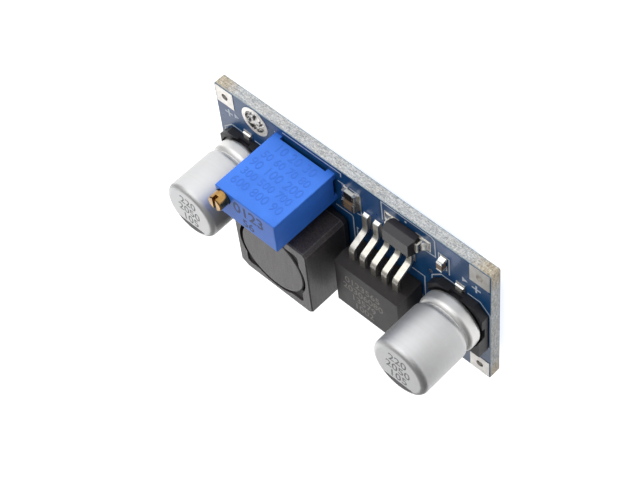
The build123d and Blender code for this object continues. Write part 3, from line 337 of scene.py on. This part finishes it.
def board_material():
    """Lacquered faces and cut glass-fibre edges in one material, told apart by the way a face looks."""
    s = lacquer_shade("board_laminate", 0.1)
    lacquer = lacquer_colour(s, (0.009, 0.080, 0.23), (0.045, 0.16, 0.33), (0.006, 0.059, 0.18))

    # Cut fibres run along each edge, in glass grey and, by the corners, in bare resin
    long_side = s.math("GREATER_THAN", s.facing("Y"), 0.7)
    fibres_y = s.cloud(0.16, 4.0, 0.75, s.stretched(1.0, 0.16, 1.5))
    fibres_x = s.cloud(0.16, 4.0, 0.75, s.stretched(0.16, 1.0, 1.5))
    fibres = s.mix(long_side, fibres_y, fibres_x)
    speck = s.cloud(0.18, 3.0, 0.8)
    cut = s.plus(s.times(fibres, 0.45), s.times(speck, 0.55))
    glass = s.ramp(cut, (0.38, (0.18, 0.20, 0.22)), (0.46, (0.38, 0.40, 0.42)),
                   (0.54, (0.57, 0.58, 0.58)), (0.66, (0.80, 0.80, 0.79)))
    resin = s.ramp(cut, (0.38, (0.20, 0.15, 0.09)), (0.52, (0.50, 0.42, 0.30)), (0.64, (0.76, 0.70, 0.58)))
    ragged = s.times(s.cloud(0.5, 4.0, 0.7), 5.0 * MM)
    past = [s.times(s.math("SUBTRACT", s.plus(s.size_of(s.axis(name)), ragged), start * MM), 0.4 / MM)
            for name, start in (("X", RESIN_FROM_X), ("Y", RESIN_FROM_Y))]
    corner = s.math("MINIMUM", s.math("MAXIMUM", s.math("MINIMUM", *past), 0.0), 0.85)
    wander = s.share(s.cloud(2.6), 0.42, 0.62)
    edge = s.mix(s.math("MAXIMUM", corner, s.times(wander, 0.15)), glass, resin)

    # The lacquer laps a little over both rims
    lap_low = s.math("LESS_THAN", s.axis("Z"), (BOARD_LOW + LAP_LOW) * MM)
    lap_high = s.math("GREATER_THAN", s.axis("Z"), (BOARD_TOP - LAP_HIGH) * MM)
    edge = s.mix(s.times(s.math("MAXIMUM", lap_low, lap_high), 0.55), edge, (0.10, 0.22, 0.30))

    side = s.upright()
    s.put("Base Color", s.mix(side, lacquer, edge))
    s.put("Roughness", s.math("MAXIMUM", lacquer_gloss(s), s.times(side, 0.8)))
    s.bump(s.mix(side, s.times(s.cloud(0.35), 0.25), s.times(cut, 2.2)), 0.05, 0.9)
    return s.mat


def tinned(name, colour, second, roughness, lump_mm=0.6, depth=0.01):
    """Tin-plated metal with slight flow marks and duller patches."""
    s = Shade(name, roughness=roughness, metallic=1.0)
    s.put("Base Color", s.ramp(s.cloud(lump_mm, 4.0, 0.6), (0.3, colour), (0.72, second)))
    s.put("Roughness", s.levels(s.cloud(lump_mm / 2), roughness * 0.75, roughness * 1.45))
    s.bump(s.cloud(lump_mm / 2), depth, 0.7)
    return s.mat


def wetted_lining():
    """Bright land on the faces, and a hole wall wetted by solder in light and dark patches."""
    s = Shade("wetted_lining", roughness=0.34, metallic=1.0)
    blots = s.ramp(s.cloud(0.55, 4.0, 0.7), (0.44, (0.05, 0.048, 0.045)), (0.56, (0.88, 0.86, 0.82)))
    ring = s.ramp(s.cloud(1.0), (0.3, (0.84, 0.82, 0.79)), (0.7, (0.74, 0.72, 0.69)))
    s.put("Base Color", s.mix(s.upright(), ring, blots))
    s.put("Roughness", s.levels(s.cloud(0.4), 0.24, 0.46))
    s.bump(s.cloud(0.5, 4.0, 0.7), 0.08, 0.8)
    return s.mat


def can_material():
    """Drawn aluminium: fine rings round the can, a few rubs, a soft sheen, and the bead at the foot painted
    paler as a highlight.
    """
    s = Shade("can_aluminium", roughness=0.4, metallic=1.0)
    rings = s.cloud(0.55, 4.0, 0.6, s.stretched(0.03, 0.03, 1.0))
    grain = s.cloud(0.07, 2.0, 0.5)
    tone = s.ramp(rings, (0.3, grey(0.65)), (0.7, (0.69, 0.695, 0.705)))
    rub = s.share(s.cloud(1.6, 5.0, 0.7), 0.5, 0.74)
    tone = s.mix(s.times(rub, 0.2), tone, grey(0.58))
    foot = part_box("output_capacitor_can")[0].z
    # Painted highlight: below this height the colour is paler, standing in for the bright light on the foot
    # bead.
    painted_foot_highlight = s.math("LESS_THAN", s.axis("Z"), foot + CAN_FOOT_HIGHLIGHT_TOP * MM)
    s.put("Base Color", s.mix(painted_foot_highlight, tone, (0.86, 0.855, 0.84)))
    s.put("Roughness", s.levels(s.plus(s.times(rings, 0.6), s.times(grain, 0.4)), 0.48, 0.58))
    s.bump(s.plus(s.times(rings, 0.4), s.times(grain, 0.5)), 0.008, 0.5)
    return s.mat


def moulded(name, colour, light, roughness, grain_mm=0.12, depth=0.015, specular=0.4, worn=0.35):
    """Moulded plastic or epoxy with a fine skin and edges that have been rubbed paler."""
    s = Shade(name, roughness=roughness, specular=specular)
    skin = s.cloud(grain_mm, 3.0, 0.6)
    wide = s.cloud(2.0)
    body = s.mix(s.times(wide, 0.5), colour, light)
    body = s.mix(s.times(skin, 0.3), body, light)
    s.put("Base Color", s.mix(s.times(s.rubbed(0.09, 0.5), worn), body, light))
    s.put("Roughness", s.levels(wide, roughness * 0.85, roughness * 1.2))
    s.bump(skin, depth, 0.6)
    return s.mat


def ferrite():
    """Fired ferrite: grey-black, speckled, with edges painted pale in patches (a painted highlight, uneven
    like chips) and grinding marks on top.
    """
    s = Shade("ferrite", roughness=0.42)
    specks = s.share(s.cloud(0.13, 3.0, 0.75), 0.38, 0.66)
    pores = s.ramp(s.cells(0.5), (0.05, grey(1.0)), (0.18, grey(0.0)))
    rust = s.share(s.cloud(0.9), 0.6, 0.75)
    tone = s.mix(s.times(specks, 0.6), (0.026, 0.0215, 0.0235), (0.128, 0.113, 0.116))
    tone = s.mix(s.times(pores, 0.6), tone, (0.008, 0.008, 0.009))
    tone = s.mix(s.times(rust, 0.35), tone, (0.13, 0.07, 0.05))
    # Pale patches along the edges: painted highlight where the edges catch the light, patchy like chips.
    edge_highlight_and_chips = s.times(s.edges(0.3), s.ramp(s.cloud(0.3, 4.0), (0.3, grey(0.3)), (0.6, grey(1.0))))
    s.put("Base Color", s.mix(s.times(edge_highlight_and_chips, 0.5), tone, (0.34, 0.33, 0.335)))
    grinding = s.cloud(0.25, 3.0, 0.6, s.stretched(1.0, 0.05, 1.0))
    s.put("Roughness", s.levels(grinding, 0.3, 0.52))
    s.bump(s.plus(s.times(specks, 0.6), grinding), 0.012, 0.7)
    return s.mat


def case_blue():
    """Blue moulded case with a slight skin and softly paler edges."""
    s = Shade("case_blue", roughness=0.48, specular=0.45)
    skin = s.cloud(0.14, 3.0, 0.6)
    wide = s.cloud(3.0)
    body = s.ramp(wide, (0.3, (0.023, 0.163, 0.73)), (0.7, (0.032, 0.198, 0.83)))
    body = s.mix(s.times(skin, 0.15), body, (0.12, 0.32, 0.90))
    s.put("Base Color", s.mix(s.times(s.rubbed(0.12, 0.6), 0.3), body, (0.16, 0.36, 0.86)))
    s.put("Roughness", s.levels(skin, 0.42, 0.56))
    s.bump(s.plus(skin, wide), 0.014, 0.6)
    return s.mat


def brass():
    """Turned brass with lathe marks and a little tarnish."""
    s = Shade("screw_brass", roughness=0.3, metallic=1.0)
    marks = s.cloud(0.16, 4.0, 0.65, s.stretched(0.06, 0.06, 1.0))
    stain = s.ramp(s.cloud(0.8, 4.0), (0.35, (0.46, 0.27, 0.085)), (0.66, (0.24, 0.125, 0.035)))
    s.put("Base Color", s.mix(s.times(marks, 0.3), stain, (0.60, 0.41, 0.17)))
    s.put("Roughness", s.levels(marks, 0.16, 0.34))
    s.bump(marks, 0.012, 0.7)
    return s.mat


def ceramic(name, colour, second, roughness=0.5):
    """Fired or glazed body with a fine mottle."""
    s = Shade(name, roughness=roughness)
    s.put("Base Color", s.ramp(s.cloud(0.12, 4.0, 0.7), (0.3, colour), (0.7, second)))
    s.put("Roughness", s.levels(s.cloud(0.3), roughness * 0.8, roughness * 1.25))
    s.bump(s.cloud(0.08), 0.008, 0.6)
    return s.mat


def enamelled_wire():
    """Copper wire under clear enamel, its turns showing as rings."""
    s = Shade("enamelled_wire", roughness=0.3, metallic=0.6, coat=0.5)
    turns = s.cloud(0.5, 3.0, 0.5, s.stretched(0.05, 0.05, 1.0))
    s.put("Base Color", s.ramp(turns, (0.3, (0.42, 0.12, 0.035)), (0.7, (0.72, 0.30, 0.10))))
    s.bump(turns, 0.03, 0.7)
    return s.mat


def cement():
    """Dark set cement, lumpy and dull."""
    s = Shade("cement", roughness=0.75)
    s.put("Base Color", s.ramp(s.cloud(0.3, 5.0, 0.7), (0.3, (0.014, 0.013, 0.013)),
                               (0.7, (0.06, 0.055, 0.052))))
    s.put("Roughness", s.levels(s.cloud(0.5), 0.45, 0.9))
    s.bump(s.cloud(0.35, 5.0, 0.7), 0.08, 0.9)
    return s.mat


def ink(name, colour, second, roughness=0.6):
    """Printed ink, slightly uneven."""
    s = Shade(name, roughness=roughness)
    s.put("Base Color", s.ramp(s.cloud(0.14, 4.0, 0.7), (0.25, second), (0.6, colour)))
    s.put("Roughness", s.levels(s.cloud(0.3), roughness * 0.85, roughness * 1.15))
    s.bump(s.cloud(0.1), 0.004, 0.5)
    return s.mat


def dress_nodes():
    """Gives every CAD node its finish, solder to those that no row names, and returns the lands' finish."""
    tin = tinned("tinned_lead", (0.80, 0.77, 0.69), (0.70, 0.67, 0.60), 0.38)
    land = tinned("tinned_land", (0.72, 0.70, 0.67), (0.62, 0.60, 0.57), 0.36, lump_mm=1.2, depth=0.02)
    # Paler, rougher copy of the land finish for the output pad: the paler colour is painted glare.
    satin_glare_land = tinned("satin_land_painted_glare", (0.80, 0.78, 0.74), (0.70, 0.68, 0.64), 0.5, lump_mm=1.2, depth=0.02)
    dull_tin = tinned("dull_tin", (0.55, 0.53, 0.49), (0.42, 0.40, 0.37), 0.5, lump_mm=0.5, depth=0.04)
    solder = tinned("solder", (0.84, 0.83, 0.80), (0.62, 0.61, 0.58), 0.2, lump_mm=0.9, depth=0.05)
    end_cap = tinned("tinned_end_cap", (0.90, 0.88, 0.84), (0.72, 0.70, 0.67), 0.24, lump_mm=0.4)
    black = moulded("base_plastic", (0.010, 0.010, 0.013), (0.035, 0.035, 0.042), 0.45,
                    specular=0.3, worn=0.25)
    epoxy = moulded("moulded_epoxy", (0.013, 0.011, 0.0115), (0.054, 0.047, 0.046), 0.5,
                    grain_mm=0.18, depth=0.03)
    diode_epoxy = moulded("diode_epoxy", (0.018, 0.016, 0.019), (0.05, 0.047, 0.053), 0.36,
                          depth=0.012, specular=0.45)
    cream = moulded("wheel_plastic", (0.62, 0.60, 0.52), (0.80, 0.78, 0.70), 0.5, worn=0.2)
    rubber = moulded("seal_rubber", (0.02, 0.02, 0.02), (0.05, 0.05, 0.05), 0.8)
    white = ceramic("chip_ceramic", (0.80, 0.80, 0.77), (0.68, 0.68, 0.64))
    brown = ceramic("capacitor_ceramic", (0.30, 0.20, 0.12), (0.20, 0.13, 0.08), 0.4)
    glass = ceramic("glass_coat", (0.012, 0.012, 0.014), (0.03, 0.03, 0.032), 0.25)
    sealant = ceramic("case_sealant", (0.34, 0.29, 0.17), (0.45, 0.40, 0.26), 0.6)
    cermet = ceramic("track_cermet", (0.02, 0.02, 0.022), (0.05, 0.05, 0.052))
    finishes = (
        (board_material(), "printed_board"),
        (wetted_lining(), "mounting_hole_linings"),
        (land, "trimmer_hole_linings surface_lands in_plus_pad in_minus_pad out_minus_pad"),
        # painted glare: paler tin on this one pad
        (satin_glare_land, "out_plus_pad"),
        (can_material(), "input_capacitor_can output_capacitor_can"),
        (black, "input_capacitor_base output_capacitor_base inductor_base"),
        (dull_tin, "input_capacitor_leads output_capacitor_leads"),
        (ferrite(), "inductor_shield inductor_core"),
        (enamelled_wire(), "inductor_winding"),
        (cement(), "inductor_adhesive"),
        (tin, "inductor_clips regulator_tab regulator_leads diode_leads trimmer_pins trimmer_clip"),
        (epoxy, "regulator_body"),
        (diode_epoxy, "diode_body"),
        (white, "feedback_resistor_body trimmer_element"),
        (glass, "feedback_resistor_coat"),
        (brown, "sense_capacitor_body bypass_capacitor_body"),
        (end_cap, "feedback_resistor_ends sense_capacitor_ends bypass_capacitor_ends"),
        (case_blue(), "trimmer_housing"),
        (sealant, "trimmer_base"),
        (brass(), "trimmer_screw trimmer_wiper"),
        (rubber, "trimmer_seal"),
        (cream, "trimmer_rotor"),
        (cermet, "trimmer_track"),
    )
    finish_of = {name: finish for finish, names in finishes for name in names.split()}
    for name, obj in NODES.items():
        for slot in obj.material_slots:
            slot.material = finish_of.get(name, solder)
    return land


# Mesh pieces

def new_piece(name, mesh, material, body="board"):
    """Flat-shaded piece that rides on a body."""
    obj = bpy.data.objects.new(name, mesh)
    bpy.context.collection.objects.link(obj)
    mesh.materials.clear()
    mesh.materials.append(material)
    mesh.polygons.foreach_set("use_smooth", [False] * len(mesh.polygons))
    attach(obj, body)


def circle(x, y, radius, steps):
    """Points round a circle."""
    return [(x + radius * math.cos(2 * math.pi * i / steps), y + radius * math.sin(2 * math.pi * i / steps))
            for i in range(steps)]


def closed_mesh(name, bm):
    """Mesh of closed shapes, with every face turned outwards."""
    bmesh.ops.recalc_face_normals(bm, faces=bm.faces)
    mesh = bpy.data.meshes.new(name)
    bm.to_mesh(mesh)
    bm.free()
    return mesh


class Prints:
    """Collects flat closed shapes of one ink into one mesh."""

    def __init__(self, level, thick=PRINT_THICK, down=False):
        self.bm = bmesh.new()
        self.low = level - (thick if down else 0.0)
        self.high = self.low + thick

    def prism(self, ring):
        """Closed plate over a ring of (x, y) points, growing from the level away from the board."""
        ring = list(ring)
        area = sum(a[0] * b[1] - b[0] * a[1] for a, b in zip(ring, ring[1:] + ring[:1]))
        if area < 0:
            ring.reverse()
        base, roof = ([self.bm.verts.new((x * MM, y * MM, z * MM)) for x, y in ring]
                      for z in (self.low, self.high))
        self.bm.faces.new(base[::-1])
        self.bm.faces.new(roof)
        for i in range(len(ring)):
            j = (i + 1) % len(ring)
            self.bm.faces.new((base[i], base[j], roof[j], roof[i]))

    def line(self, *points):
        """One stroke of even width with mitred corners."""
        left, right = [], []
        for i, point in enumerate(points):
            here = Vector(point)
            back = (here - Vector(points[i - 1])).normalized() if i else None
            on = (Vector(points[i + 1]) - here).normalized() if i + 1 < len(points) else None
            back = back or on
            on = on or back
            side = Vector((-(back.y + on.y), back.x + on.x)).normalized()
            reach = STROKE_WIDTH / 2 / max(0.5, side.dot(Vector((-on.y, on.x))))
            left.append(tuple(here + side * reach))
            right.append(tuple(here - side * reach))
        self.prism(left + right[::-1])

    def bar(self, x, y, length, width):
        a, b = length / 2, width / 2
        self.prism([(x - a, y - b), (x + a, y - b), (x + a, y + b), (x - a, y + b)])

    def signs(self, columns, row, length, width):
        """In each column a plus sign at row, made of a bar and two stubs, and a minus sign at -row."""
        for x in columns:
            for y in (row, -row):
                self.bar(x, y, length, width)
                if y > 0:
                    for side in (-1, 1):
                        self.bar(x, y + side * (length + width) / 4, width, (length - width) / 2)

    def disc(self, x, y, radius):
        self.prism(circle(x, y, radius, 20))

    def add(self, name, material, slot=None):
        """Turns what was collected into a piece."""
        new_piece(name, closed_mesh(name, self.bm), material)


def digits(name, text, size, place, material, thick=NUMBER_THICK, weight=PLAIN_WEIGHT):
    """Plain number as a thin closed mesh. place is a matrix from the text's plane to the part's frame."""
    curve = bpy.data.curves.new(name + "_curve", "FONT")
    curve.body = text
    curve.size = size * MM
    curve.extrude = thick / 2 * MM
    curve.offset = size * weight * MM
    curve.resolution_u = 3
    curve.align_x = "CENTER"
    curve.align_y = "CENTER"
    maker = bpy.data.objects.new(name + "_maker", curve)
    bpy.context.collection.objects.link(maker)
    bpy.context.view_layer.update()
    mesh = bpy.data.meshes.new_from_object(maker.evaluated_get(bpy.context.evaluated_depsgraph_get()))
    bpy.data.objects.remove(maker)
    bpy.data.curves.remove(curve)
    mesh.transform(place)
    bm = bmesh.new()
    bm.from_mesh(mesh)
    bmesh.ops.remove_doubles(bm, verts=bm.verts, dist=1e-7)
    bm.to_mesh(mesh)
    bm.free()
    new_piece(name, mesh, material)


def printed_outlines(white):
    """White outlines of the parts on the board's top face, with the signs and arrows by the wire pads."""
    prints = Prints(BOARD_TOP)
    prints.line(*TRIMMER_STROKE)
    for x, y in CAN_PLACES.values():
        for side in (-1, 1):
            prints.line((x + side * CAN_OUTLINE_GAP, y + CAN_OUTLINE_HALF),
                        (x + side * CAN_OUTLINE_CUT, y + CAN_OUTLINE_HALF),
                        (x + side * CAN_OUTLINE_HALF, y + CAN_OUTLINE_CUT),
                        (x + side * CAN_OUTLINE_HALF, y - CAN_OUTLINE_TAIL))
    for stroke in (*INDUCTOR_STROKES, *REGULATOR_STROKES, DIODE_STROKE, *CHIP_STROKES):
        prints.line(*stroke)
    prints.disc(*DIODE_DOT)
    prints.signs((-19.6, 19.4), 6.2, 1.3, 0.26)
    for start in ARROW_XS:
        prints.prism([(start + x, y) for x, y in ARROW])
    prints.add("printed_outlines", white)


def underside_prints(white):
    """White outline round the trimmer's pins and signs by the wire pads, on the board's underside."""
    outline = Prints(BOARD_LOW, down=True)
    outline.line(*UNDER_STROKE)
    outline.disc(*UNDER_DOT)
    outline.add("underside_outline", white)
    signs = Prints(BOARD_LOW - POUR_THICK, down=True)
    signs.signs((-19.6, 19.65), 5.9, 1.4, 0.28)
    signs.add("underside_signs", white)


def copper_pours(name, level, down, shapes):
    """Lacquered copper areas that stand a little above the laminate."""
    pour = Prints(level, POUR_THICK, down)
    for ring in shapes:
        pour.prism(ring)
    pour.add(name, pour_material(name), slot="solder_mask")


def via_rings(name, level, down, material):
    """Small bare rings round the plated vias."""
    bm = bmesh.new()
    low = level - (RING_THICK if down else 0.0)
    high = low + RING_THICK
    profile = ((VIA_INNER, low), (VIA_OUTER, low), (VIA_OUTER, high), (VIA_INNER, high))
    for x, y in VIA_PLACES:
        loops = [[bm.verts.new((px * MM, py * MM, z * MM)) for px, py in circle(x, y, radius, VIA_STEPS)]
                 for radius, z in profile]
        for a, b in zip(loops, loops[1:] + loops[:1]):
            for i in range(VIA_STEPS):
                j = (i + 1) % VIA_STEPS
                bm.faces.new((a[i], a[j], b[j], b[i]))
    new_piece(name, closed_mesh(name, bm), material)


def can_prints(print_grey, print_dark):
    """A polarity segment and plain numbers on each can's top."""
    start = math.asin(SEGMENT_CHORD / SEGMENT_RADIUS)
    sweep = math.pi - 2 * start
    for which, (x, y) in CAN_PLACES.items():
        top = top_of(which + "_capacitor_can")
        turns = [-start - sweep * i / SEGMENT_STEPS for i in range(SEGMENT_STEPS + 1)]
        segment = Prints(top, SEGMENT_THICK)
        segment.prism([(x + SEGMENT_RADIUS * math.cos(turn), y + SEGMENT_RADIUS * math.sin(turn))
                       for turn in turns])
        segment.add(which + "_can_segment", print_dark)
        for row, (text, shift) in enumerate(CAN_NUMBERS):
            place = Matrix.Translation(Vector((x, y + shift, top + NUMBER_THICK / 2)) * MM)
            digits(f"{which}_can_number_{row}", text, CAN_NUMBER_SIZE, place, print_grey)


def regulator_numbers(faint):
    """Rows of plain numbers, just paler than the epoxy, on the regulator's top."""
    low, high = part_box("regulator_body")
    low, high = low / MM, high / MM
    x, y = (low.x + high.x) / 2, (low.y + high.y) / 2
    right, up = REGULATOR_NUMBER_START
    for row, text in enumerate(REGULATOR_NUMBERS):
        corner = (x + right, y + up - REGULATOR_NUMBER_PITCH * row, high.z + NUMBER_THICK / 2)
        place = Matrix.Translation(Vector(corner) * MM)
        digits(f"regulator_number_{row}", text, REGULATOR_NUMBER_SIZE, place, faint)


def face_matrix(origin, right, up):
    """Matrix that carries the text's plane onto a face, from the face's own right and up."""
    right, up = Vector(right), Vector(up)
    out = right.cross(up)
    return Matrix.Translation(Vector(origin) * MM) @ Matrix((right, up, out)).transposed().to_4x4()


def trimmer_marks(dark, stamped):
    """Plain numbers printed on the trimmer's top, and five raised rows of them on its long side."""
    low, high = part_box("trimmer_housing")
    low, high = low / MM, high / MM
    x, y = (low.x + high.x) / 2, (low.y + high.y) / 2
    for row, (text, size, (right, up)) in enumerate(TRIMMER_TOP_NUMBERS):
        place = face_matrix((x + right, y + up, high.z + TRIMMER_TOP_LIFT), (1, 0, 0), (0, 1, 0))
        digits(f"trimmer_number_{row}", text, size, place, dark, weight=HEAVY_WEIGHT)
    for row, (text, size) in enumerate(TRIMMER_SIDE_NUMBERS):
        z = low.z + TRIMMER_SIDE_PITCH + row * TRIMMER_SIDE_PITCH
        place = face_matrix((x, high.y + TRIMMER_SIDE_LIFT, z), (1, 0, 0), (0, 0, -1))
        digits(f"trimmer_relief_{row}", text, size, place, stamped, RELIEF_THICK)


# Stage and light

def sheet(name, corners, material):
    """One flat four-sided sheet."""
    mesh = bpy.data.meshes.new(name)
    mesh.from_pydata(corners, [], [(0, 1, 2, 3)])
    mesh.materials.append(material)
    obj = bpy.data.objects.new(name, mesh)
    bpy.context.collection.objects.link(obj)
    return obj


def make_stage():
    """White floor with an even glow of its own."""
    s = Shade("floor_white", roughness=0.9)
    s.put("Base Color", s.ramp(s.cloud(400.0, 2.0), (0.3, grey(0.80)), (0.7, grey(0.82))))
    s.put("Emission Color", rgba(grey(1.0)))
    s.put("Emission Strength", FLOOR_GLOW)
    half = FLOOR_HALF_M
    floor = sheet("floor", [(-half, -half, 0), (half, -half, 0), (half, half, 0), (-half, half, 0)], s.mat)


def dark_card():
    """Dark grey card beside the output end, unseen by the camera, that shades the faces towards it."""
    s = Shade("card_black", roughness=0.9)
    s.put("Base Color", rgba(grey(0.13)))
    x, half, foot, top = CARD_X_M, CARD_HALF_M, CARD_FOOT_M, CARD_TOP_M
    corners = [(x, -half, foot), (x, half, foot), (x, half, top), (x, -half, top)]
    card = sheet("dark_card", corners, s.mat)
    card.visible_camera = False


def area_light(name, towards, distance, side, watts):
    data = bpy.data.lights.new(name, "AREA")
    data.shape = "SQUARE"
    data.size = side
    data.energy = watts
    lamp = bpy.data.objects.new(name, data)
    way = Vector(towards).normalized()
    lamp.location = way * distance + LIGHT_AIM_M
    lamp.rotation_mode = "QUATERNION"
    lamp.rotation_quaternion = way.to_track_quat("Z", "Y")
    bpy.context.collection.objects.link(lamp)


def light_scene():
    world = bpy.data.worlds.new("studio")
    world.use_nodes = True
    sky = world.node_tree.nodes["Background"].inputs
    sky["Color"].default_value = rgba(grey(1.0))
    sky["Strength"].default_value = SKY_STRENGTH
    bpy.context.scene.world = world
    bpy.context.scene.view_settings.view_transform = "Standard"
    area_light("key", *KEY_LIGHT)
    area_light("back", *BACK_LIGHT)


def main():
    set_camera()
    bare = dress_nodes()
    white = ink("print_white", (0.70, 0.75, 0.82), (0.48, 0.56, 0.70))
    print_grey = ink("print_grey", (0.20, 0.20, 0.21), (0.34, 0.34, 0.35))
    print_dark = ink("print_dark", (0.13, 0.13, 0.14), (0.20, 0.20, 0.21))
    print_navy = ink("print_navy", (0.03, 0.06, 0.20), (0.06, 0.11, 0.30))
    faint = ink("print_faint", (0.25, 0.23, 0.20), (0.075, 0.07, 0.065), 0.5)
    stamped = ink("stamped_blue", (0.021, 0.145, 0.65), (0.029, 0.178, 0.75), 0.5)
    copper_pours("pours_top", BOARD_TOP, False, TOP_POURS)
    copper_pours("pours_under", BOARD_LOW, True, UNDER_POURS)
    via_rings("via_rings", BOARD_TOP, False, bare)
    via_rings("via_rings_under", BOARD_LOW, True, bare)
    underside_prints(white)
    printed_outlines(white)
    can_prints(print_grey, print_dark)
    regulator_numbers(faint)
    trimmer_marks(print_navy, stamped)
    make_stage()
    light_scene()
    dark_card()


main()
